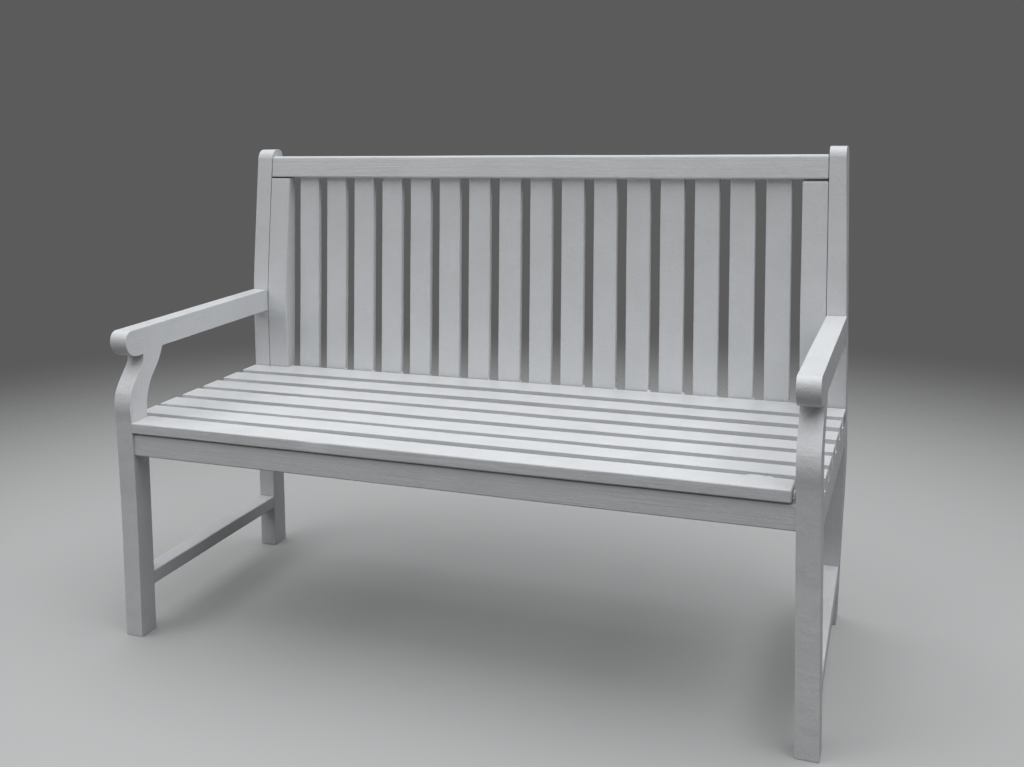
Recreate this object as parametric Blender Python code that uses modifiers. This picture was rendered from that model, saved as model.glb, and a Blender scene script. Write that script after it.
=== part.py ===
"""A miniature garden bench in white-painted wood, with a slatted seat, a slatted back and two arms.

Lengths are in metres. Inside the bench, x runs along its length, y runs back from the straight
front face of the front legs, and z is measured from the top of the seat. The empty that carries
every piece moves this to the bench's own frame: feet on z = 0, centred in x and y.
"""

import math

import bmesh
import bpy
from mathutils import Matrix, Vector

# Overall size.
LENGTH = 0.1800
SEAT_HEIGHT = 0.0600
GAP = 0.0003            # clearance kept between pieces that touch
EASE = 0.00035          # softened long edges

# Legs and posts.
LEG_WIDTH = 0.0051
LEG_DEPTH = 0.0068
POST_FRONT = 0.0760     # y of the rear posts' front face below the bend
POST_DEPTH = 0.0072
POST_TOP = 0.0695
POST_ROUND = 0.0024
BEND_HEIGHT = 0.0248    # the posts lean back above this height
BEND_BLEND = 0.0060
POST_LEAN = 0.140       # run back for each metre up

# Arms.
ARM_TOP = 0.0248
ARM_BOTTOM = 0.0182
NOSE_FRONT = -0.0019
NOSE_ROUND = 0.0027     # radius of the rolled nose's upper front
NOSE_BOTTOM = 0.01755
NOSE_RUN = 0.0057       # how far back the curve under the nose reaches
NOSE_RISE = 0.0043      # and how far up
NOSE_END = 0.0057       # y of the nose's lip, in front of the leg

# Seat.
SEAT_SLAT_THICK = 0.0030
SEAT_SLAT_WIDTH = 0.0079
SEAT_SLAT_PITCH = 0.0105
SEAT_SLAT_SPREAD = 0.0002    # the slats sit further apart towards the back
SECOND_SLAT_FRONT = 0.0104
FRONT_SLAT_FRONT = -0.0008
FRONT_SLAT_BACK = 0.0078
FULL_SEAT_SLATS = 5     # those between the front slat and the notched rear slat

# Rails.
RAIL_BOTTOM = -0.0093
APRON_THICK = 0.0045
SIDE_RAIL_WIDTH = 0.0044
SIDE_RAIL_BOTTOM = -0.0098
REAR_RAIL_THICK = 0.0066
STRETCHER_TOP = -0.0436
STRETCHER_HEIGHT = 0.0039
TOP_RAIL_BOTTOM = 0.0605
TOP_RAIL_HEIGHT = 0.0067
TOP_RAIL_THICK = 0.0056

# Back.
BACK_SLATS = 16
BACK_SLAT_PITCH = 0.00959
BACK_SLAT_WIDTH = 0.00672
BACK_SLAT_THICK = 0.00216
BACK_SLAT_FRONT = 0.0787  # y of the slats' front face at seat level
BACK_SLAT_LEAN = 0.069
MORTISE_DEPTH = 0.0018
STILE_INNER = 0.0782      # x of the end stiles' inner edge

# Dowels.
DOWEL_RADIUS = 0.0009
DOWEL_LENGTH = 0.0056

SIDES = {"left": -1, "right": 1}
INNER_X = LENGTH / 2 - LEG_WIDTH
MID_X = LENGTH / 2 - LEG_WIDTH / 2
RAIL_TOP = -SEAT_SLAT_THICK - GAP
WHITE = (0.80, 0.81, 0.82, 1.0)
BEECH = (0.62, 0.46, 0.29, 1.0)


def post_shift(z):
    """How far back the rear posts have moved at height z: none, a short bend, then a straight lean."""
    rise = z - BEND_HEIGHT
    if rise <= -BEND_BLEND:
        return 0.0
    if rise >= BEND_BLEND:
        return POST_LEAN * rise
    return POST_LEAN * (rise + BEND_BLEND) ** 2 / (4 * BEND_BLEND)


REARMOST = POST_FRONT + POST_DEPTH + post_shift(POST_TOP - POST_ROUND)


def clear_scene():
    for item in list(bpy.data.objects):
        bpy.data.objects.remove(item, do_unlink=True)


def new_collection(name):
    group = bpy.data.collections.new(name)
    bpy.context.scene.collection.children.link(group)
    return group


def add_material(item, color, roughness):
    paint = bpy.data.materials.new(item.name)
    paint.use_nodes = True
    shader = paint.node_tree.nodes["Principled BSDF"]
    shader.inputs["Base Color"].default_value = color
    shader.inputs["Roughness"].default_value = roughness
    shader.inputs["Metallic"].default_value = 0.0
    paint.diffuse_color = color
    item.data.materials.clear()
    item.data.materials.append(paint)


def finish(item, color=WHITE, roughness=0.55, ease=EASE):
    """Hang a piece on the bench's empty, give it its material and soften its edges."""
    item.parent = bench
    add_material(item, color, roughness)
    if ease:
        bevel = item.modifiers.new("eased_edges", "BEVEL")
        bevel.width = ease
        bevel.segments = 1
        bevel.limit_method = "ANGLE"
        bevel.angle_limit = math.radians(35)
    return item


def board(name, low, high, lean=0.0):
    """A rectangular board between two corners; lean tips it back about the middle of its length."""
    low, high = Vector(low), Vector(high)
    mesh = bpy.data.meshes.new(name)
    shape = bmesh.new()
    bmesh.ops.create_cube(shape, size=1.0, matrix=Matrix.Diagonal((*(high - low), 1.0)))
    shape.to_mesh(mesh)
    shape.free()
    item = bpy.data.objects.new(name, mesh)
    item.location = (low + high) / 2
    item.rotation_euler.x = -math.atan(lean)
    pieces.objects.link(item)
    return finish(item)


def arc(y, z, run, rise, start, end, steps):
    """Points on an upright ellipse in the side view, from one angle to another in degrees."""
    angles = [math.radians(start + (end - start) * step / steps) for step in range(steps + 1)]
    return [(y + run * math.cos(a), z + rise * math.sin(a)) for a in angles]


def side_outline(name, spline_type, point_count, thickness, x):
    """A filled curve standing in the side view, its own x running back and its own y up."""
    curve = bpy.data.curves.new(name, "CURVE")
    curve.dimensions = "2D"
    curve.fill_mode = "BOTH"
    curve.extrude = thickness / 2
    curve.resolution_u = 5
    spline = curve.splines.new(spline_type)
    points = spline.bezier_points if spline_type == "BEZIER" else spline.points
    points.add(point_count - 1)
    spline.use_cyclic_u = True
    item = bpy.data.objects.new(name, curve)
    item.location.x = x
    item.rotation_euler = (math.pi / 2, 0.0, math.pi / 2)
    pieces.objects.link(item)
    return item, points


def curve_to_mesh(item):
    """Replace a curve object by a mesh object of the same name, place and shape."""
    bpy.context.view_layer.update()
    name = item.name
    place = item.matrix_world.copy()
    mesh = bpy.data.meshes.new_from_object(item.evaluated_get(bpy.context.evaluated_depsgraph_get()))
    bpy.data.objects.remove(item, do_unlink=True)
    shape = bmesh.new()
    shape.from_mesh(mesh)
    bmesh.ops.remove_doubles(shape, verts=shape.verts, dist=0.000001)
    bmesh.ops.dissolve_limit(shape, angle_limit=math.radians(0.5), verts=shape.verts, edges=shape.edges)
    shape.to_mesh(mesh)
    shape.free()
    solid = bpy.data.objects.new(name, mesh)
    solid.matrix_world = place
    pieces.objects.link(solid)
    return finish(solid)


def cut_side_view(name, outline, thickness, x):
    """A flat piece sawn to an outline of (y, z) points joined by straight lines."""
    item, points = side_outline(name, "POLY", len(outline), thickness, x)
    for point, (y, z) in zip(points, outline):
        point.co = (y, z, 0.0, 1.0)
    return curve_to_mesh(item)


def front_leg(side):
    """Straight below the seat, then a shallow belly and a sweep back to the arm."""
    foot = -SEAT_HEIGHT
    top = ARM_BOTTOM - GAP
    corners = {"foot_front", "foot_back", "top_back", "top_front"}
    outline = {
        "foot_front": (0.0, foot),
        "shin": (0.0, -0.022),
        "knee": (-0.0009, 0.0002),
        "belly": (-0.0013, 0.0044),
        "sweep_start": (0.0009, 0.0102),
        "sweep_front": (0.0036, 0.0131),
        "neck": (0.0055, 0.0153),
        "top_front": (NOSE_END + 1.5 * GAP, top),
        "top_back": (0.0152, top),
        "throat": (0.0129, 0.0143),
        "sweep_back": (0.0090, 0.0099),
        "waist": (0.0069, 0.0050),
        "calf": (LEG_DEPTH - 0.0001, -0.004),
        "foot_back": (LEG_DEPTH, foot),
    }
    x = SIDES[side] * MID_X
    item, points = side_outline(f"front_leg_{side}", "BEZIER", len(outline), LEG_WIDTH, x)
    for point, (part, (y, z)) in zip(points, outline.items()):
        point.co = (y, z, 0.0)
        handle = "VECTOR" if part in corners else "AUTO"
        point.handle_left_type = handle
        point.handle_right_type = handle
    return curve_to_mesh(item)


def rear_post(side):
    """Upright to the arm, then leaning back to a rounded top."""
    bend = [BEND_HEIGHT + BEND_BLEND * step / 2 for step in (-2, -1, 0, 1, 2)]
    round_z = POST_TOP - POST_ROUND
    front_arc = arc(POST_ROUND, round_z, POST_ROUND, POST_ROUND, 180, 90, 5)
    back_arc = arc(POST_DEPTH - POST_ROUND, round_z, POST_ROUND, POST_ROUND, 90, 0, 5)
    upright = [(0.0, -SEAT_HEIGHT)] + [(0.0, z) for z in bend] + front_arc
    upright += back_arc + [(POST_DEPTH, z) for z in reversed(bend)] + [(POST_DEPTH, -SEAT_HEIGHT)]
    outline = [(POST_FRONT + y + post_shift(z), z) for y, z in upright]
    return cut_side_view(f"rear_post_{side}", outline, LEG_WIDTH, SIDES[side] * MID_X)


def arm(side):
    """A level bar from the rear post to a rolled nose that hangs over the front leg."""
    outline = [(POST_FRONT - GAP, ARM_BOTTOM), (POST_FRONT - GAP, ARM_TOP)]
    outline += arc(NOSE_FRONT + NOSE_ROUND, ARM_TOP - NOSE_ROUND, NOSE_ROUND, NOSE_ROUND, 90, 180, 6)
    outline += arc(NOSE_FRONT + NOSE_RUN, NOSE_BOTTOM + NOSE_RISE, NOSE_RUN, NOSE_RISE, 180, 270, 8)
    outline += [(NOSE_END, NOSE_BOTTOM), (NOSE_END, ARM_BOTTOM)]
    return cut_side_view(f"arm_{side}", outline, LEG_WIDTH, SIDES[side] * MID_X)


def back_stile(side):
    """The wide end board of the back: its front face follows the post, its rear face is planed straight."""
    bend = [BEND_HEIGHT + BEND_BLEND * step / 2 for step in (-2, -1, 0, 1, 2)]
    top = TOP_RAIL_BOTTOM - GAP
    front = [(POST_FRONT + post_shift(z), z) for z in [RAIL_TOP + GAP] + bend + [top]]
    back = [(stile_back(z), z) for z in (top, RAIL_TOP + GAP)]
    inner, outer = STILE_INNER, INNER_X - GAP
    x = SIDES[side] * (inner + outer) / 2
    return cut_side_view(f"back_stile_{side}", front + back, outer - inner, x)


def slat_front(z):
    return BACK_SLAT_FRONT + BACK_SLAT_LEAN * z


def stile_back(z):
    return slat_front(z) + BACK_SLAT_THICK


def back_slat_position(number):
    """Centre of back slat 1 to 16, and its length between the two rails' mortises."""
    low = RAIL_TOP - MORTISE_DEPTH + GAP
    high = TOP_RAIL_BOTTOM + MORTISE_DEPTH - GAP
    middle = (low + high) / 2
    x = (number - (BACK_SLATS + 1) / 2) * BACK_SLAT_PITCH
    centre = Vector((x, slat_front(middle) + BACK_SLAT_THICK / 2, middle))
    return centre, high - low


def back_slat(number):
    centre, length = back_slat_position(number)
    half = Vector((BACK_SLAT_WIDTH, BACK_SLAT_THICK, length)) / 2
    return board(f"back_slat_{number:02d}", centre - half, centre + half, BACK_SLAT_LEAN)


def cutter(name, mesh):
    item = bpy.data.objects.new(name, mesh)
    item.parent = bench
    item.hide_render = True
    item.display_type = "WIRE"
    cutters.objects.link(item)
    return item


def cut(item, tool):
    boolean = item.modifiers.new(tool.name, "BOOLEAN")
    boolean.operation = "DIFFERENCE"
    boolean.solver = "EXACT"
    boolean.object = tool


def slat_mortises(rails):
    """Let the ends of all the back slats into the rails above and below them."""
    shape = bmesh.new()
    tilt = Matrix.Rotation(-math.atan(BACK_SLAT_LEAN), 4, "X")
    for number in range(1, BACK_SLATS + 1):
        centre, length = back_slat_position(number)
        size = (BACK_SLAT_WIDTH + 2 * GAP, BACK_SLAT_THICK + 2 * GAP, length + 2 * GAP)
        place = Matrix.Translation(centre) @ tilt @ Matrix.Diagonal((*size, 1.0))
        bmesh.ops.create_cube(shape, size=1.0, matrix=place)
    mesh = bpy.data.meshes.new("slat_mortises")
    shape.to_mesh(mesh)
    shape.free()
    tool = cutter("slat_mortises", mesh)
    for rail in rails:
        cut(rail, tool)


def rod_mesh(name, radius, length, axis):
    shape = bmesh.new()
    bmesh.ops.create_cone(shape, cap_ends=True, segments=12, radius1=radius, radius2=radius, depth=length)
    turn = Vector((0.0, 0.0, 1.0)).rotation_difference(Vector(axis)).to_matrix()
    bmesh.ops.rotate(shape, verts=shape.verts, matrix=turn)
    mesh = bpy.data.meshes.new(name)
    shape.to_mesh(mesh)
    shape.free()
    return mesh


def dowel(name, centre, axis, joined):
    """A glued dowel half in each of two pieces, with its hole cut through both."""
    pin = bpy.data.objects.new(name, rod_mesh(name, DOWEL_RADIUS, DOWEL_LENGTH, axis))
    pin.location = centre
    pieces.objects.link(pin)
    finish(pin, BEECH, 0.7, ease=0.0)
    pin.data.shade_smooth()
    pin.data.set_sharp_from_angle(angle=math.radians(40))
    tool = cutter(f"{name}_hole", rod_mesh(name, DOWEL_RADIUS + GAP, DOWEL_LENGTH + 2 * GAP, axis))
    tool.location = centre
    for piece in joined:
        cut(piece, tool)


def seat_slat_front(row):
    return SECOND_SLAT_FRONT + row * (SEAT_SLAT_PITCH + row * SEAT_SLAT_SPREAD)


def seat_slats():
    inner = INNER_X - GAP
    board("seat_slat_1", (-inner, FRONT_SLAT_FRONT, -SEAT_SLAT_THICK), (inner, FRONT_SLAT_BACK, 0.0))
    end = LENGTH / 2
    for row in range(FULL_SEAT_SLATS):
        front = seat_slat_front(row)
        low = (-end, front, -SEAT_SLAT_THICK)
        board(f"seat_slat_{row + 2}", low, (end, front + SEAT_SLAT_WIDTH, 0.0))


def rear_seat_slat():
    """The last seat slat, notched at both ends round the post and the end stile."""
    front = seat_slat_front(FULL_SEAT_SLATS)
    back = slat_front(-SEAT_SLAT_THICK) - GAP
    notch_y = POST_FRONT - GAP
    notch_x = STILE_INNER - GAP
    end = LENGTH / 2
    right = [(end, front), (end, notch_y), (notch_x, notch_y), (notch_x, back)]
    outline = right + [(-x, y) for x, y in reversed(right)]
    name = f"seat_slat_{FULL_SEAT_SLATS + 2}"
    curve = bpy.data.curves.new(name, "CURVE")
    curve.dimensions = "2D"
    curve.fill_mode = "BOTH"
    curve.extrude = SEAT_SLAT_THICK / 2
    spline = curve.splines.new("POLY")
    spline.points.add(len(outline) - 1)
    spline.use_cyclic_u = True
    for point, (x, y) in zip(spline.points, outline):
        point.co = (x, y, 0.0, 1.0)
    item = bpy.data.objects.new(name, curve)
    item.location.z = -SEAT_SLAT_THICK / 2
    pieces.objects.link(item)
    return curve_to_mesh(item)


def long_rails():
    """The apron, the rear rail and the top rail, each as long as the space between legs or posts."""
    end = INNER_X - GAP
    apron = board("front_apron", (-end, 0.0, RAIL_BOTTOM), (end, APRON_THICK, RAIL_TOP))
    rear_front = POST_FRONT
    rear = board("rear_rail", (-end, rear_front, RAIL_BOTTOM), (end, rear_front + REAR_RAIL_THICK, RAIL_TOP))
    middle = TOP_RAIL_BOTTOM + TOP_RAIL_HEIGHT / 2
    front = POST_FRONT + post_shift(middle)
    low = (-end, front, TOP_RAIL_BOTTOM)
    high = (end, front + TOP_RAIL_THICK, TOP_RAIL_BOTTOM + TOP_RAIL_HEIGHT)
    top = board("back_top_rail", low, high, POST_LEAN)
    return apron, rear, top


def end_frame(side, apron, rear, top):
    """One end of the bench: leg, post, arm, side rail and stretcher, and the dowels that join them."""
    sign = SIDES[side]
    leg, post, rest = front_leg(side), rear_post(side), arm(side)
    back_stile(side)
    start, stop = LEG_DEPTH + GAP, POST_FRONT - GAP
    outer = LENGTH / 2
    xs = sorted((sign * (outer - SIDE_RAIL_WIDTH), sign * outer))
    rail = board(f"side_rail_{side}", (xs[0], start, SIDE_RAIL_BOTTOM), (xs[1], stop, RAIL_TOP))
    xs = sorted((sign * INNER_X, sign * outer))
    low = (xs[0], start, STRETCHER_TOP - STRETCHER_HEIGHT)
    stretcher = board(f"stretcher_{side}", low, (xs[1], stop, STRETCHER_TOP))

    along_x, along_y, upright = (1, 0, 0), (0, 1, 0), (0, 0, 1)
    joint_x = sign * (INNER_X - GAP / 2)
    rail_x = sign * (outer - SIDE_RAIL_WIDTH / 2)
    low_z = STRETCHER_TOP - STRETCHER_HEIGHT / 2
    rail_z = (SIDE_RAIL_BOTTOM + RAIL_TOP) / 2
    front_y, back_y = LEG_DEPTH + GAP / 2, POST_FRONT - GAP / 2
    dowel(f"arm_front_dowel_{side}", (sign * MID_X, 0.0105, ARM_BOTTOM - GAP / 2), upright, (leg, rest))
    arm_z = (ARM_TOP + ARM_BOTTOM) / 2
    dowel(f"arm_rear_dowel_{side}", (sign * MID_X, back_y, arm_z), along_y, (rest, post))
    dowel(f"side_rail_front_dowel_{side}", (rail_x, front_y, rail_z - 0.0012), along_y, (leg, rail))
    dowel(f"side_rail_rear_dowel_{side}", (rail_x, back_y, rail_z - 0.0012), along_y, (rail, post))
    dowel(f"stretcher_front_dowel_{side}", (sign * MID_X, front_y, low_z), along_y, (leg, stretcher))
    dowel(f"stretcher_rear_dowel_{side}", (sign * MID_X, back_y, low_z), along_y, (stretcher, post))
    apron_z = RAIL_TOP - 0.0018
    dowel(f"apron_dowel_{side}", (joint_x, APRON_THICK / 2, apron_z), along_x, (apron, leg))
    rear_y = POST_FRONT + REAR_RAIL_THICK / 2 + 0.0008
    dowel(f"rear_rail_dowel_{side}", (joint_x, rear_y, RAIL_BOTTOM + 0.0020), along_x, (rear, post))
    top_z = TOP_RAIL_BOTTOM + TOP_RAIL_HEIGHT / 2
    top_y = POST_FRONT + post_shift(top_z) + TOP_RAIL_THICK / 2
    dowel(f"top_rail_dowel_{side}", (joint_x, top_y, top_z), along_x, (top, post))


clear_scene()
pieces = new_collection("garden_bench")
cutters = new_collection("cutters")
bench = bpy.data.objects.new("bench_origin", None)
bench.location = (0.0, -(NOSE_FRONT + REARMOST) / 2, SEAT_HEIGHT)
pieces.objects.link(bench)

front_apron, rear_rail, back_top_rail = long_rails()
for end_name in SIDES:
    end_frame(end_name, front_apron, rear_rail, back_top_rail)
for slat_number in range(1, BACK_SLATS + 1):
    back_slat(slat_number)
slat_mortises((rear_rail, back_top_rail))
seat_slats()
rear_seat_slat()
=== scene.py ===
"""The looks of a miniature garden bench: soft-edged, brush-painted boards around its CAD frame.

Lengths are in metres. Every painted piece is rebuilt as a fine mesh in the place of the CAD node that it
stands for. Its edges are rounded, except where the paint has closed the joint with its neighbour, and it
is pushed a little off true, as hand work is.
"""

import math
import random

import bmesh
import bpy
from mathutils import Matrix, Vector, noise


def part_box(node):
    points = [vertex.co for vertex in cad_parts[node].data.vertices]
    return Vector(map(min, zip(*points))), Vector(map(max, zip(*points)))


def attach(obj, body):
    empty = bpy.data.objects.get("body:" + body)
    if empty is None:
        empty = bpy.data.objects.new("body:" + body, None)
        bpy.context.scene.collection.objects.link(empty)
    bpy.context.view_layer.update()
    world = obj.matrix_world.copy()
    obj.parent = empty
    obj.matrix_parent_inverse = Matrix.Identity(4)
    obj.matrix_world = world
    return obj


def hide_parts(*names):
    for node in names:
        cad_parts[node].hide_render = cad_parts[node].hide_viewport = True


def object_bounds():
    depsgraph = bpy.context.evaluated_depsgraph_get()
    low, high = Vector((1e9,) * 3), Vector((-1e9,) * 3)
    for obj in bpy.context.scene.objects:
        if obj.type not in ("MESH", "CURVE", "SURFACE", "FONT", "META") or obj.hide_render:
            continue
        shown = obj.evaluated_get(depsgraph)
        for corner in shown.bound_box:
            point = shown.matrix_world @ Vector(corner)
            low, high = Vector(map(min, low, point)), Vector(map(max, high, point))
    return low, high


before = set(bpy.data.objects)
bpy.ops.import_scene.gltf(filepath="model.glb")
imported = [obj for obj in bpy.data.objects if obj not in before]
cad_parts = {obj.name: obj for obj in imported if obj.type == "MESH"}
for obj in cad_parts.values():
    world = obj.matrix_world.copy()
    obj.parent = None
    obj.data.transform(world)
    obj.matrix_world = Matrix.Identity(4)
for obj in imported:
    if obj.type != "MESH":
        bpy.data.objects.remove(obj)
cad_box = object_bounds()

SIDES = {"left": -1, "right": 1}
BACK_SLATS = 16
SEAT_SLATS = 7

# The CAD pieces stand this far apart. The painted ones close it, or leave a finer line.
GAP = 0.0003
PAINTED_LINE = 0.00012
THIN = 0.0005           # two boxes that share less than this across an axis only touch

# Rounded edges.
BOARD_EDGE = 0.00042
SEAT_EDGE = 0.00016
RAIL_TOP_EDGE = 0.00095
LEG_EDGE = 0.00055
ARM_EDGE = 0.00055
STILE_EDGE = 0.00028
BACK_SLAT_EDGE = 0.8 * BOARD_EDGE
ROUND_STEPS = 3
CORNER = math.radians(32)       # an edge that turns by more is a corner to round
SHARP = math.radians(40)        # an edge that turns by more is not smoothed over
SLICE = 0.0026          # length between the cross cuts that let a board waver

# Light, in watts, and the strength of the world's glow.
OVERHEAD_POWER = 222.0
FILL_POWER = 0.42
SIDE_POWER = 0.25
LOW_POWER = 0.10
GLOW = 0.02
FLOOR_COLOR = (0.52, 0.52, 0.515, 1.0)      # as the camera sees it
FLOOR_BOUNCE = (0.17, 0.17, 0.165, 1.0)     # as it lights the bench
FLOOR_FADE = (0.10, 0.44)                   # distances from the bench between which it gives way
FLOOR_RADIUS = 4.0
FLOOR_DROP = 0.0001                         # below the feet, so that the two never share a plane
BACKDROP_COLOR = (0.105, 0.105, 0.105, 1.0)

# How far hand work and paint push a surface off true.
WAVER = 0.00006
WAVER_LENGTH = 0.021
LUMPS = 0.000018
LUMP_LENGTH = 0.0034
NOISE_SEED = 1          # left alone, Blender's noise takes its seed from the clock
noise.seed_set(NOISE_SEED)

# The rear posts, and the leans of the back as run back for each metre up.
POST_DEPTH = 0.0072
POST_ROUNDING = 0.0029
POST_BEND = 0.0248      # height over the seat
POST_BLEND = 0.0060     # half the height over which the bend is spread
POST_LEAN = 0.140
BACK_SLAT_LEAN = 0.069
BACK_SLAT_SETBACK = 0.0027
STILE_THICK = 0.00216

# Hand work. How far a seat slat's front and rear edges run off true at its left, middle and right.
SLAT_DRIFT = {
    1: ((0.0, 0.0, 0.0), (0.0001, -0.0004, -0.0002)),
    2: ((0.0, 0.0003, -0.0001), (0.0001, -0.0001, -0.0006)),
    3: ((-0.0005, -0.0001, -0.0001), (-0.0002, -0.0003, -0.0002)),
    4: ((-0.0001, 0.0, -0.0002), (0.0004, 0.0004, -0.0009)),
    5: ((-0.0002, 0.0002, -0.0003), (0.0002, 0.0001, -0.0005)),
    6: ((-0.0002, 0.0005, -0.0004), (0.0003, 0.0008, -0.0008)),
    7: ((-0.0004, 0.0006, -0.0014), (0.0, 0.0, 0.0)),
}
FOOT_LEAN = 0.044       # how far the right rear leg runs in towards its foot, for each metre down
FOOT_LEAN_DROP = 0.014  # and how far below the seat that starts
PLANED_START = 0.018    # height over the seat from which that post's outer face is planed down
PLANED_FRONT = 0.00090  # and by how much at the top, at its front edge and at its rear edge
PLANED_REAR = 0.00060
FRONT_SLAT_SHORT = 0.00055
NICK_X = -0.0298        # in the front slat's edge
NICK_LENGTH = 0.0028
NICK_HEIGHT = 0.0008    # of the edge that it takes in
NICK_BACK = 0.00035
NICK_DOWN = 0.00025
CURVE_STEP = 0.0011     # between the points of a sawn curve

# Driving heights and depths, measured from the seat's top and the front legs' front face.
SEAT_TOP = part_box("seat_slat_4")[1].z
LEG_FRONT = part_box("front_apron")[0].y
INNER_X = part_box("front_leg_right")[0].x
OUTER_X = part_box("front_leg_right")[1].x
POST_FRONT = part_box("rear_post_right")[0].y
ARM_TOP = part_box("arm_right")[1].z
ARM_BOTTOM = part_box("front_leg_right")[1].z + GAP
NOSE_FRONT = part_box("arm_right")[0].y
NOSE_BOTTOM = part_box("arm_right")[0].z
NOSE_END = LEG_FRONT + 0.0059   # the lip, flush with the top of the leg's front
LEG_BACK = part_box("side_rail_right")[0].y - GAP


def in_place(y, z):
    """World y and z of a point given from the front leg's front face and the seat's top."""
    return LEG_FRONT + y, SEAT_TOP + z


# Mesh tools -------------------------------------------------------------------------------------------


def zone(low, high):
    return Vector(low), Vector(high)


def meeting(first, second):
    """The space where two CAD nodes face each other across the thin gap of a joint."""
    a_low, a_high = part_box(first)
    b_low, b_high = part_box(second)
    low = Vector([max(a, b) for a, b in zip(a_low, b_low)])
    high = Vector([min(a, b) for a, b in zip(a_high, b_high)])
    for axis in range(3):
        if high[axis] <= low[axis] + THIN:
            low[axis], high[axis] = min(low[axis], high[axis]) - GAP, max(low[axis], high[axis]) + GAP
    return low, high


def inside(point, zones):
    slack = 0.00001
    return any(all(low[i] - slack <= point[i] <= high[i] + slack for i in range(3)) for low, high in zones)


def slice_across(shape, axis, places):
    """Cut a mesh along planes square to an axis, without opening it."""
    normal = Vector([1.0 if i == axis else 0.0 for i in range(3)])
    for place in places:
        parts = shape.verts[:] + shape.edges[:] + shape.faces[:]
        bmesh.ops.bisect_plane(shape, geom=parts, plane_co=normal * place, plane_no=normal, dist=1e-7)


def extent(shape, axis):
    values = [vert.co[axis] for vert in shape.verts]
    return min(values), max(values)


def bevel(shape, edges, radius):
    bmesh.ops.bevel(
        shape,
        geom=edges,
        offset=radius,
        segments=ROUND_STEPS,
        profile=0.5,
        affect="EDGES",
        clamp_overlap=True,
    )


def round_edges(shape, radius, closed_joints):
    """Round every corner edge, but leave those in a closed joint sharp."""
    for low, high in closed_joints:
        for axis in range(3):
            if high[axis] - low[axis] > 2 * GAP + THIN:
                first, last = extent(shape, axis)
                places = [p for p in (low[axis], high[axis]) if first + radius < p < last - radius]
                slice_across(shape, axis, places)
    shape.edges.ensure_lookup_table()
    chosen = []
    for edge in shape.edges:
        if len(edge.link_faces) != 2 or edge.calc_face_angle(0.0) < CORNER:
            continue
        middle = (edge.verts[0].co + edge.verts[1].co) / 2
        if not inside(middle, closed_joints):
            chosen.append(edge)
    bevel(shape, chosen, radius)


def waver(point):
    """The same slow drift and fine lumps everywhere, so that pieces that meet stay together."""
    slow = noise.noise_vector(point / WAVER_LENGTH) * WAVER
    fine = noise.noise_vector(point / LUMP_LENGTH) * LUMPS
    return slow + fine


def cross_cut(shape):
    """Cut a piece across its longest side, closely enough to let it waver."""
    spans = [extent(shape, axis) for axis in range(3)]
    axis = max(range(3), key=lambda i: spans[i][1] - spans[i][0])
    first, last = spans[axis]
    count = max(2, round((last - first) / SLICE))
    slice_across(shape, axis, [first + (last - first) * i / count for i in range(1, count)])


def push(shape, drift):
    """Move every point by what a function of its place gives."""
    for vert in shape.verts:
        vert.co += drift(vert.co)


def piece(name, shape, nodes, material):
    """Turn a finished bmesh into a painted piece that rides on the bench and stands for CAD nodes."""
    bmesh.ops.recalc_face_normals(shape, faces=shape.faces)
    push(shape, waver)
    mesh = bpy.data.meshes.new(name)
    shape.to_mesh(mesh)
    shape.free()
    mesh.shade_smooth()
    mesh.set_sharp_from_angle(angle=SHARP)
    mesh.materials.append(material)
    item = bpy.data.objects.new(name, mesh)
    bpy.context.scene.collection.objects.link(item)
    normals = item.modifiers.new("even_faces", "WEIGHTED_NORMAL")
    normals.mode = "FACE_AREA"
    normals.weight = 80
    normals.keep_sharp = True
    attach(item, "root")
    if nodes:
        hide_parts(*nodes)


def block(low, high):
    shape = bmesh.new()
    size = Vector(high) - Vector(low)
    place = Matrix.Translation((Vector(low) + Vector(high)) / 2) @ Matrix.Diagonal((*size, 1.0))
    bmesh.ops.create_cube(shape, size=1.0, matrix=place)
    return shape


def sawn(outline, x_low, x_high):
    """A flat piece with an outline of (y, z) points, sawn square across its thickness."""
    shape = bmesh.new()
    loop = [shape.verts.new((x_low, y, z)) for y, z in outline]
    face = shape.faces.new(loop)
    grown = bmesh.ops.extrude_face_region(shape, geom=[face])["geom"]
    moved = [part for part in grown if isinstance(part, bmesh.types.BMVert)]
    bmesh.ops.translate(shape, verts=moved, vec=(x_high - x_low, 0.0, 0.0))
    return shape


def arc(y, z, run, rise, start, end, steps):
    """Points on an upright ellipse in the side view, from one angle to another in degrees."""
    angles = [math.radians(start + (end - start) * step / steps) for step in range(steps + 1)]
    return [(y + run * math.cos(a), z + rise * math.sin(a)) for a in angles]


def smooth_run(points, spacing):
    """A smooth curve through points, sampled about evenly."""
    knots = [Vector(p) for p in points]
    chords = [(b - a).length for a, b in zip(knots, knots[1:])]
    slopes = [(knots[1] - knots[0]) / chords[0]]
    for i in range(1, len(knots) - 1):
        slopes.append((knots[i + 1] - knots[i - 1]) / (chords[i - 1] + chords[i]))
    slopes.append((knots[-1] - knots[-2]) / chords[-1])
    run = []
    for i, chord in enumerate(chords):
        steps = max(1, round(chord / spacing))
        for step in range(steps):
            t = step / steps
            start, out = (1 + 2 * t) * (1 - t) ** 2, t * (1 - t) ** 2
            end, into = t * t * (3 - 2 * t), t * t * (t - 1)
            bend = (slopes[i] * out + slopes[i + 1] * into) * chord
            run.append(knots[i] * start + knots[i + 1] * end + bend)
    run.append(knots[-1])
    return [tuple(p) for p in run]


# Materials --------------------------------------------------------------------------------------------


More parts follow.
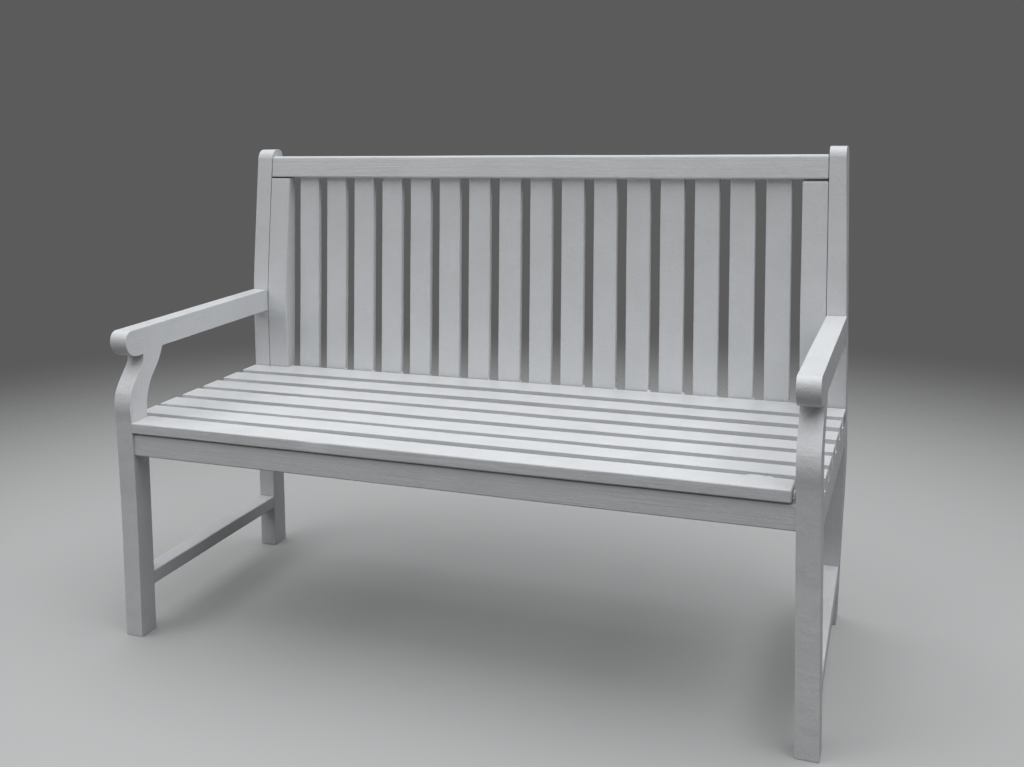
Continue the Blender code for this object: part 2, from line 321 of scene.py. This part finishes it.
class Nodes:
    """A material's node tree, with short ways to add and join nodes."""

    def __init__(self, name):
        self.material = bpy.data.materials.new(name)
        self.material.use_nodes = True
        self.tree = self.material.node_tree
        self.shader = self.tree.nodes["Principled BSDF"]
        self.position = self.tree.nodes.new("ShaderNodeTexCoord").outputs["Object"]

    def join(self, source, target):
        self.tree.links.new(source, target)

    def scaled(self, scale):
        mapping = self.tree.nodes.new("ShaderNodeMapping")
        mapping.inputs["Scale"].default_value = scale
        self.join(self.position, mapping.inputs["Vector"])
        return mapping.outputs["Vector"]

    def noise(self, scale, detail=3.0, roughness=0.5, distortion=0.0):
        """Noise with so many features a metre along x, y and z, from 0 to 1."""
        texture = self.tree.nodes.new("ShaderNodeTexNoise")
        texture.inputs["Scale"].default_value = 1.0
        texture.inputs["Detail"].default_value = detail
        texture.inputs["Roughness"].default_value = roughness
        texture.inputs["Distortion"].default_value = distortion
        self.join(self.scaled(scale), texture.inputs["Vector"])
        return texture.outputs["Fac"]

    def spread(self, source, low, high, to_low=0.0, to_high=1.0):
        """Stretch the part of a value between low and high to a new range."""
        remap = self.tree.nodes.new("ShaderNodeMapRange")
        remap.inputs["From Min"].default_value = low
        remap.inputs["From Max"].default_value = high
        remap.inputs["To Min"].default_value = to_low
        remap.inputs["To Max"].default_value = to_high
        self.join(source, remap.inputs["Value"])
        return remap.outputs["Result"]

    def mix(self, factor, first, second):
        """Blend two colours, each a colour or another node's output."""
        blend = self.tree.nodes.new("ShaderNodeMix")
        blend.data_type = "RGBA"
        self.join(factor, blend.inputs["Factor"])
        for value, socket in ((first, "A"), (second, "B")):
            target = next(s for s in blend.inputs if s.name == socket and s.type == "RGBA")
            if isinstance(value, tuple):
                target.default_value = value
            else:
                self.join(value, target)
        return next(s for s in blend.outputs if s.type == "RGBA")

    def bump(self, height, depth, under=None):
        """Raise the surface by a height of 0 to 1 times a depth in metres."""
        relief = self.tree.nodes.new("ShaderNodeBump")
        relief.inputs["Strength"].default_value = 1.0
        relief.inputs["Distance"].default_value = depth
        self.join(height, relief.inputs["Height"])
        if under is not None:
            self.join(under, relief.inputs["Normal"])
        return relief.outputs["Normal"]

    def crevice(self, distance):
        """From 0 in the open to 1 deep in a joint."""
        occlusion = self.tree.nodes.new("ShaderNodeAmbientOcclusion")
        occlusion.inputs["Distance"].default_value = distance
        occlusion.samples = 8
        return self.spread(occlusion.outputs["AO"], 0.15, 0.75, 1.0, 0.0)


def along(axis, lengthwise, crosswise):
    return tuple(lengthwise if i == axis else crosswise for i in range(3))


def white_paint(axis):
    """Satin white paint, brushed along the grain of a piece that runs along x, y or z, with painted shade
    darkening its joints.
    """
    paint = Nodes("white_paint_" + "xyz"[axis])
    white = (0.80, 0.81, 0.825, 1.0)
    thin = (0.745, 0.755, 0.765, 1.0)
    streaked = (0.77, 0.775, 0.775, 1.0)
    # the colour of the painted shade in joints and creases: an olive grey standing in for shade and green
    # bounce light
    painted_shade_tint = (0.40, 0.385, 0.33, 1.0)

    mottle = paint.noise((1300.0, 1300.0, 1300.0), detail=3.0, roughness=0.6)
    speckle = paint.spread(mottle, 0.3, 0.7, 0.0, 0.5)
    patches = paint.spread(paint.noise((70.0, 70.0, 70.0), detail=4.0), 0.40, 0.68)
    streaks = paint.spread(paint.noise(along(axis, 45.0, 900.0), detail=3.0), 0.48, 0.72)
    body = paint.mix(patches, white, thin)
    body = paint.mix(paint.spread(streaks, 0.0, 1.0, 0.0, 0.55), body, streaked)
    body = paint.mix(speckle, body, thin)
    # painted shade: ambient occlusion within 1.1 mm darkens the colour towards that olive grey in joints
    # and creases, where shade falls
    painted_joint_shade = paint.spread(paint.crevice(0.0011), 0.0, 1.0, 0.0, 0.42)
    paint.join(paint.mix(painted_joint_shade, body, painted_shade_tint), paint.shader.inputs["Base Color"])

    gloss = paint.spread(paint.noise((220.0, 220.0, 220.0), detail=2.0), 0.35, 0.65, 0.40, 0.52)
    paint.join(gloss, paint.shader.inputs["Roughness"])
    paint.shader.inputs["Specular IOR Level"].default_value = 0.45

    peel = paint.noise((1500.0, 1500.0, 1500.0), detail=2.0, roughness=0.45)
    grain = paint.noise(along(axis, 60.0, 1900.0), detail=3.0, distortion=0.3)
    pooled = paint.noise((320.0, 320.0, 320.0), detail=1.0)
    relief = paint.bump(pooled, 0.00011)
    relief = paint.bump(grain, 0.00008, relief)
    relief = paint.bump(peel, 0.00007, relief)
    paint.join(relief, paint.shader.inputs["Normal"])
    return paint.material


def bare_beech():
    """Unpainted beech for the dowels: warm, with short darker flecks along the grain."""
    wood = Nodes("bare_beech")
    pale = (0.62, 0.46, 0.29, 1.0)
    dark = (0.47, 0.31, 0.17, 1.0)
    fleck = (0.33, 0.20, 0.11, 1.0)
    rings = wood.spread(wood.noise((600.0, 600.0, 600.0), detail=5.0), 0.35, 0.65)
    flecks = wood.spread(wood.noise((900.0, 2600.0, 2600.0), detail=1.0), 0.62, 0.72)
    body = wood.mix(rings, pale, dark)
    wood.join(wood.mix(flecks, body, fleck), wood.shader.inputs["Base Color"])
    wood.shader.inputs["Roughness"].default_value = 0.7
    wood.join(wood.bump(flecks, 0.00003), wood.shader.inputs["Normal"])
    return wood.material


PAINT = [white_paint(axis) for axis in range(3)]


# Seat -------------------------------------------------------------------------------------------------


def board(name, axis, radius=BOARD_EDGE, grow=None, closed_joints=(), drift=None):
    """A straight board in its CAD node's box, grown or cut back on named sides, then pushed off true."""
    low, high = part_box(name)
    for side, distance in (grow or {}).items():
        corner = low if side[0] == "-" else high
        corner["xyz".index(side[1])] += distance if side[0] == "+" else -distance
    shape = block(low, high)
    round_edges(shape, radius, closed_joints)
    cross_cut(shape)
    if drift:
        push(shape, drift)
    piece(f"painted_{name}", shape, [name], PAINT[axis])


def slat_drift(number):
    """How a seat slat's points move back or forward: each edge follows its own shallow curve."""
    low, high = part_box(f"seat_slat_{number}")

    def curve(ends, x):
        left, middle, right = ends
        t = math.sin(math.pi / 2 * max(-1.0, min(1.0, x / OUTER_X)))
        return middle + t * (right - left) / 2 + t * t * ((right + left) / 2 - middle)

    def drift(point):
        front, rear = [curve(ends, point.x) for ends in SLAT_DRIFT[number]]
        across = max(0.0, min(1.0, (point.y - low.y) / (high.y - low.y)))
        return Vector((0.0, front + (rear - front) * across, 0.0))

    return drift


def front_slat_drift(point):
    """The front slat's drift, with a nick in its front edge left of the middle."""
    near = math.exp(-(((point.x - NICK_X) / NICK_LENGTH) ** 2))
    if point.z > SEAT_TOP - NICK_HEIGHT and point.y < LEG_FRONT:
        return Vector((0.0, NICK_BACK * near, -NICK_DOWN * near))
    return slat_drift(1)(point)


def seat_boards():
    """Six of the seven slats, the front one stopping short of the right leg. The notched rear one is built
    apart.
    """
    left_end = zone(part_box("seat_slat_1")[0] - Vector((GAP, 1, 1)), (-INNER_X + GAP, 1, 1))
    sides = {"-x": GAP, "+x": -FRONT_SLAT_SHORT}
    board("seat_slat_1", 0, grow=sides, closed_joints=[left_end], drift=front_slat_drift)
    for number in range(2, SEAT_SLATS):
        name = f"seat_slat_{number}"
        ends = [meeting(name, f"side_rail_{side}") for side in SIDES]
        drift = slat_drift(number)
        board(name, 0, radius=SEAT_EDGE, grow={"-z": GAP / 2}, closed_joints=ends, drift=drift)


def rear_seat_board():
    """The last seat slat, notched at both ends round the post and the end stile."""
    low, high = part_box("seat_slat_7")
    notch_y = POST_FRONT - GAP / 2
    notch_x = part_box("back_stile_right")[0].x - GAP / 2
    right = [(high.x, low.y), (high.x, notch_y), (notch_x, notch_y), (notch_x, high.y)]
    outline = right + [(-x, y) for x, y in reversed(right)]
    shape = bmesh.new()
    face = shape.faces.new([shape.verts.new((x, y, low.z - GAP / 2)) for x, y in outline])
    grown = bmesh.ops.extrude_face_region(shape, geom=[face])["geom"]
    moved = [part for part in grown if isinstance(part, bmesh.types.BMVert)]
    bmesh.ops.translate(shape, verts=moved, vec=(0.0, 0.0, high.z - low.z + GAP / 2))
    round_edges(shape, SEAT_EDGE, [meeting("seat_slat_7", f"side_rail_{side}") for side in SIDES])
    cross_cut(shape)
    push(shape, slat_drift(7))
    piece("painted_seat_slat_7", shape, ["seat_slat_7"], PAINT[0])


# Rails ------------------------------------------------------------------------------------------------


def leg_joint(name):
    """Where the end of a side rail or stretcher stands against the flat back of the front leg."""
    low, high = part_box(name)
    return zone((low.x, LEG_BACK - GAP, low.z), (high.x, low.y + GAP, high.z))


def foot_shift(z):
    """How far in the right rear leg has run at a height."""
    return FOOT_LEAN * max(0.0, SEAT_TOP - FOOT_LEAN_DROP - z)


def stretcher_drift(point):
    """The right stretcher's rear end follows the leg."""
    low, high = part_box("stretcher_right")
    along_it = (point.y - low.y) / (high.y - low.y)
    return Vector((-along_it * foot_shift((low.z + high.z) / 2), 0.0, 0.0))


def rails():
    """The apron, rear rail and side rails round the seat, and the stretchers near the ground."""
    reach = {"-x": GAP, "+x": GAP}
    ends = [meeting("front_apron", f"front_leg_{side}") for side in SIDES]
    board("front_apron", 0, grow=reach, closed_joints=ends)
    ends = [meeting("rear_rail", f"rear_post_{side}") for side in SIDES]
    board("rear_rail", 0, grow=reach, closed_joints=ends)
    reach = {"-y": GAP / 2, "+y": GAP / 2}
    for side in SIDES:
        for name in (f"side_rail_{side}", f"stretcher_{side}"):
            ends = [leg_joint(name), meeting(name, f"rear_post_{side}")]
            rise = GAP / 2 if "rail" in name else 0.0
            drift = stretcher_drift if name == "stretcher_right" else None
            board(name, 1, grow={**reach, "+z": rise}, closed_joints=ends, drift=drift)


# Ends -------------------------------------------------------------------------------------------------


def front_leg(side):
    """Straight below the seat, then a shallow belly and a sweep back to the arm."""
    name = f"front_leg_{side}"
    low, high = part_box(name)
    foot = low.z - SEAT_TOP
    top = ARM_BOTTOM - SEAT_TOP
    lip = NOSE_END - LEG_FRONT
    front = [(0.0, -0.022), (-0.0009, 0.0002), (-0.0013, 0.0044), (-0.0006, 0.0076), (0.0010, 0.0102)]
    front += [(0.0036, 0.0131), (0.0055, 0.0153), (lip, 0.0170)]
    back = [(0.0152, top), (0.0129, 0.0143), (0.0090, 0.0099), (0.0069, 0.0050), (0.0067, -0.0040)]
    back += [(0.0068, -0.0220)]
    outline = [(0.0, foot)] + smooth_run(front, CURVE_STEP) + [(lip, top)]
    outline += smooth_run(back, CURVE_STEP) + [(LEG_BACK - LEG_FRONT, foot)]
    shape = sawn([in_place(y, z) for y, z in outline], low.x, high.x)
    joints = [meeting(name, "front_apron"), leg_joint(f"side_rail_{side}"), leg_joint(f"stretcher_{side}")]
    joints.append(zone((-1, -1, ARM_BOTTOM - GAP), (1, 1, 1)))
    round_edges(shape, LEG_EDGE, joints)
    cross_cut(shape)
    piece(f"painted_{name}", shape, [name], PAINT[2])


def arm(side):
    """A level bar from the rear post to a rolled nose that hangs over the front leg."""
    name = f"arm_{side}"
    low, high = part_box(name)
    crown, run, rise = 0.0027, 0.0057, 0.0043
    outline = [(POST_FRONT, ARM_BOTTOM), (POST_FRONT, ARM_TOP)]
    outline += arc(NOSE_FRONT + crown, ARM_TOP - crown, crown, crown, 90, 180, 8)
    outline += arc(NOSE_FRONT + run, NOSE_BOTTOM + rise, run, rise, 180, 270, 12)
    outline += [(NOSE_END, NOSE_BOTTOM), (NOSE_END, ARM_BOTTOM)]
    shape = sawn(outline, low.x, high.x)
    leg_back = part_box(f"front_leg_{side}")[1].y
    joints = [zone((-1, NOSE_END, -1), (1, leg_back, ARM_BOTTOM + GAP))]
    joints.append(zone((-1, POST_FRONT - GAP, -1), (1, 1, 1)))
    round_edges(shape, ARM_EDGE, joints)
    cross_cut(shape)
    piece(f"painted_{name}", shape, [name], PAINT[1])


def post_shift(z):
    """How far back the rear posts have moved at height z over the seat: none, a bend, then a lean."""
    rise = z - POST_BEND
    if rise <= -POST_BLEND:
        return 0.0
    if rise >= POST_BLEND:
        return POST_LEAN * rise
    return POST_LEAN * (rise + POST_BLEND) ** 2 / (4 * POST_BLEND)


def post_bend():
    """Heights over the seat at which the bend is drawn."""
    return [POST_BEND + POST_BLEND * step / 4 for step in range(-4, 5)]


def plane_outer_face(shape, high):
    """Bring a post's outer face in from the arm up, more at its front edge than at its rear."""
    start = SEAT_TOP + PLANED_START
    for vert in shape.verts:
        rise = (vert.co.z - start) / (high.z - start)
        if vert.co.x > high.x - THIN and rise > 0:
            depth = (vert.co.y - POST_FRONT - post_shift(vert.co.z - SEAT_TOP)) / POST_DEPTH
            vert.co.x -= rise * (PLANED_FRONT + (PLANED_REAR - PLANED_FRONT) * depth)


def rear_post(side):
    """Upright to the arm, then leaning back to a rounded top.

    The right one thins towards its top and runs in towards its foot.
    """
    name = f"rear_post_{side}"
    low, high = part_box(name)
    foot, top = low.z - SEAT_TOP, high.z - SEAT_TOP
    rounding = POST_ROUNDING
    front = [(0.0, foot)] + [(0.0, z) for z in post_bend()]
    crown = arc(rounding, top - rounding, rounding, rounding, 180, 90, 8)
    crown += arc(POST_DEPTH - rounding, top - rounding, rounding, rounding, 90, 0, 8)
    back = [(POST_DEPTH, z) for z in reversed(post_bend())] + [(POST_DEPTH, foot)]
    outline = [(POST_FRONT + y + post_shift(z), SEAT_TOP + z) for y, z in front + crown + back]
    shape = sawn(outline, low.x, high.x)
    if side == "right":
        plane_outer_face(shape, high)
    joints = [meeting(name, f"side_rail_{side}"), meeting(name, f"stretcher_{side}")]
    joints.append(meeting(name, f"arm_{side}"))
    joints.append(meeting(name, "rear_rail"))
    round_edges(shape, LEG_EDGE, joints)
    cross_cut(shape)
    if side == "right":
        push(shape, lambda point: Vector((-foot_shift(point.z), 0.0, 0.0)))
    piece(f"painted_{name}", shape, [name], PAINT[2])


# Back -------------------------------------------------------------------------------------------------


def back_stile(side):
    """The wide end board of the back, its front flush with the post and its rear face straight."""
    name = f"back_stile_{side}"
    low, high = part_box(name)
    slack = {"left": -0.00005, "right": 0.00018}[side]      # a closed joint under the rail, and an open one
    rise = [low.z - SEAT_TOP] + post_bend() + [high.z - SEAT_TOP + GAP - PAINTED_LINE - slack]
    front = [(POST_FRONT + post_shift(z), SEAT_TOP + z) for z in rise]
    rear_low = POST_FRONT + BACK_SLAT_SETBACK + BACK_SLAT_LEAN * rise[0] + STILE_THICK
    rear_high = POST_FRONT + BACK_SLAT_SETBACK + BACK_SLAT_LEAN * rise[-1] + STILE_THICK
    outline = front + [(rear_high, SEAT_TOP + rise[-1]), (rear_low, SEAT_TOP + rise[0])]
    outer = INNER_X - PAINTED_LINE
    xs = sorted((SIDES[side] * outer, SIDES[side] * (INNER_X - GAP - (high.x - low.x))))
    shape = sawn(outline, *xs)
    round_edges(shape, STILE_EDGE, [])
    cross_cut(shape)
    piece(f"painted_{name}", shape, [name], PAINT[2])


def leaning_board(name, axis, lean, radius, grow=0.0, top_radius=None):
    """A straight board tipped back. Its size is its CAD node's, read in the board's own directions."""
    turn = Matrix.Rotation(math.atan(lean), 4, "X")
    corners = [turn @ vert.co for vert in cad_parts[name].data.vertices]
    low = Vector([min(c[i] for c in corners) for i in range(3)])
    high = Vector([max(c[i] for c in corners) for i in range(3)])
    low.x -= grow
    high.x += grow
    shape = block(low, high)
    if top_radius:
        tops = [edge for edge in shape.edges if all(vert.co.z > high.z - THIN for vert in edge.verts)]
        bevel(shape, [edge for edge in tops if edge.calc_length() > high.y - low.y + THIN], top_radius)
    round_edges(shape, radius, [])
    cross_cut(shape)
    bmesh.ops.transform(shape, matrix=turn.inverted(), verts=shape.verts)
    piece(f"painted_{name}", shape, [name], PAINT[axis])


def back():
    """The top rail and the slats between the end boards."""
    joint = GAP - PAINTED_LINE
    leaning_board("back_top_rail", 0, POST_LEAN, BOARD_EDGE, grow=joint, top_radius=RAIL_TOP_EDGE)
    for number in range(1, BACK_SLATS + 1):
        leaning_board(f"back_slat_{number:02d}", 2, BACK_SLAT_LEAN, BACK_SLAT_EDGE)


# Paint that ran ---------------------------------------------------------------------------------------


def bead(shape, centre, radii):
    """A flattened drop of paint."""
    place = Matrix.Translation(centre) @ Matrix.Diagonal((*radii, 1.0))
    bmesh.ops.create_icosphere(shape, subdivisions=3, radius=1.0, matrix=place)


def paint_runs():
    """Drops at the slats' outer ends, a skin in the first gap and beads at the back slats' feet."""
    drops = bmesh.new()
    drop = (0.00030, 0.00050, 0.00045)
    run = (0.00030, 0.00040, 0.00105)
    for number in (1, 4, 5, 6):
        gap_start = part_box(f"seat_slat_{number}")[1].y
        bead(drops, (OUTER_X, gap_start + 0.0009, SEAT_TOP - 0.0026), drop)
    bead(drops, (INNER_X - 0.00028, LEG_FRONT + 0.0001, SEAT_TOP - 0.0012), run)
    piece("paint_drops", drops, [], PAINT[1])

    skin = bmesh.new()
    first_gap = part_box("seat_slat_1")[1].y
    wide = (0.0024, 0.00040, 0.00018)
    narrow = (0.0012, 0.00035, 0.00016)
    bead(skin, (0.0757, first_gap + 0.0006, SEAT_TOP - 0.00030), wide)
    bead(skin, (0.0783, first_gap + 0.0005, SEAT_TOP - 0.00032), narrow)
    piece("paint_skin", skin, [], PAINT[0])

    feet = bmesh.new()
    hand = random.Random(7)
    for number in range(2, BACK_SLATS + 1):
        low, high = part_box(f"back_slat_{number:02d}")
        size = hand.uniform(0.0002, 0.0005)
        place = (high.x + size * 0.4, low.y + 0.0004 + hand.uniform(0.0, 0.0006), SEAT_TOP - size * 0.3)
        bead(feet, place, (size * 1.2, size * 1.6, size))
    piece("paint_beads", feet, [], PAINT[0])


def dress_dowels():
    """The glued dowels stay inside the joints as they are, in bare wood."""
    beech = bare_beech()
    for name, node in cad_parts.items():
        if "dowel" in name:
            node.data.materials.clear()
            node.data.materials.append(beech)


# Stage ------------------------------------------------------------------------------------------------


def floor():
    """A plain pale floor that darkens into the backdrop behind. It throws back less light than it shows."""
    shape = bmesh.new()
    bmesh.ops.create_circle(shape, cap_ends=True, segments=96, radius=FLOOR_RADIUS)
    mesh = bpy.data.meshes.new("floor")
    shape.to_mesh(mesh)
    shape.free()
    item = bpy.data.objects.new("floor", mesh)
    item.location.z = cad_box[0].z - FLOOR_DROP
    bpy.context.scene.collection.objects.link(item)

    matte = Nodes("floor")
    seen = matte.tree.nodes.new("ShaderNodeLightPath").outputs["Is Camera Ray"]
    matte.join(matte.mix(seen, FLOOR_BOUNCE, FLOOR_COLOR), matte.shader.inputs["Base Color"])
    matte.shader.inputs["Roughness"].default_value = 0.9
    matte.shader.inputs["Specular IOR Level"].default_value = 0.1
    distance = matte.tree.nodes.new("ShaderNodeVectorMath")
    distance.operation = "LENGTH"
    matte.join(matte.position, distance.inputs[0])
    clear = matte.tree.nodes.new("ShaderNodeBsdfTransparent")
    blend = matte.tree.nodes.new("ShaderNodeMixShader")
    fade = matte.spread(distance.outputs["Value"], *FLOOR_FADE)
    fade.node.interpolation_type = "SMOOTHSTEP"
    matte.join(fade, blend.inputs["Fac"])
    matte.join(matte.shader.outputs["BSDF"], blend.inputs[1])
    matte.join(clear.outputs["BSDF"], blend.inputs[2])
    matte.join(blend.outputs["Shader"], matte.tree.nodes["Material Output"].inputs["Surface"])
    item.data.materials.append(matte.material)


def softbox(name, place, target, size, power, color):
    light = bpy.data.lights.new(name, "AREA")
    light.shape = "RECTANGLE"
    light.size, light.size_y = size
    light.energy = power
    light.color = color
    item = bpy.data.objects.new(name, light)
    item.location = place
    item.rotation_euler = (Vector(target) - Vector(place)).to_track_quat("-Z", "Y").to_euler()
    item.visible_camera = False
    bpy.context.scene.collection.objects.link(item)


def lights():
    """A very wide softbox overhead, like a cloudy sky, and weak ones at the left, right and low right."""
    middle = (cad_box[0] + cad_box[1]) / 2
    above = middle + Vector((0.0, -0.2, 3.0))
    softbox("overhead", above, middle, (7.0, 7.0), OVERHEAD_POWER, (0.965, 0.98, 1.0))
    beside = middle + Vector((-0.45, -0.45, 0.30))
    softbox("front_fill", beside, middle, (0.4, 0.3), FILL_POWER, (1.0, 0.99, 0.98))
    right = middle + Vector((0.30, -0.05, 0.40))
    softbox("side_fill", right, middle - Vector((0.05, 0.0, 0.0)), (0.3, 0.3), SIDE_POWER, (1.0, 1.0, 1.0))
    low_right = middle + Vector((0.90, -0.70, 0.12))
    softbox("low_fill", low_right, middle, (0.5, 0.2), LOW_POWER, (1.0, 1.0, 1.0))


def surround():
    """An even grey backdrop for the camera. What lights the bench from it is only a faint glow."""
    world = bpy.data.worlds.new("surround")
    world.use_nodes = True
    tree = world.node_tree
    backdrop = tree.nodes["Background"]
    backdrop.inputs["Color"].default_value = BACKDROP_COLOR
    backdrop.inputs["Strength"].default_value = 1.0
    glow = tree.nodes.new("ShaderNodeBackground")
    glow.inputs["Color"].default_value = (0.95, 0.98, 1.0, 1.0)
    glow.inputs["Strength"].default_value = GLOW
    seen = tree.nodes.new("ShaderNodeLightPath")
    blend = tree.nodes.new("ShaderNodeMixShader")
    tree.links.new(seen.outputs["Is Camera Ray"], blend.inputs["Fac"])
    tree.links.new(glow.outputs["Background"], blend.inputs[1])
    tree.links.new(backdrop.outputs["Background"], blend.inputs[2])
    tree.links.new(blend.outputs["Shader"], tree.nodes["World Output"].inputs["Surface"])
    bpy.context.scene.world = world
    bpy.context.scene.view_settings.view_transform = "Standard"


def camera():
    """Stands to the right of the bench's front, a little above the back, and looks across it."""
    lens = bpy.data.cameras.new("camera")
    lens.sensor_width = 36.0
    lens.lens = 44.06
    lens.shift_x = 0.1435
    lens.shift_y = -0.1645
    lens.clip_start = 0.01
    lens.dof.use_dof = False
    item = bpy.data.objects.new("camera", lens)
    turn = Matrix.Rotation(math.radians(24.66), 4, "Z")
    tilt = Matrix.Rotation(math.radians(90 - 5.30), 4, "X")
    roll = Matrix.Rotation(math.radians(-1.416), 4, "Z")
    item.matrix_world = Matrix.Translation((0.1114, -0.3182, 0.1453)) @ turn @ tilt @ roll
    bpy.context.scene.collection.objects.link(item)
    bpy.context.scene.camera = item


seat_boards()
rear_seat_board()
rails()
for end in SIDES:
    front_leg(end)
    rear_post(end)
    arm(end)
    back_stile(end)
back()
paint_runs()
dress_dowels()
floor()
lights()
surround()
camera()
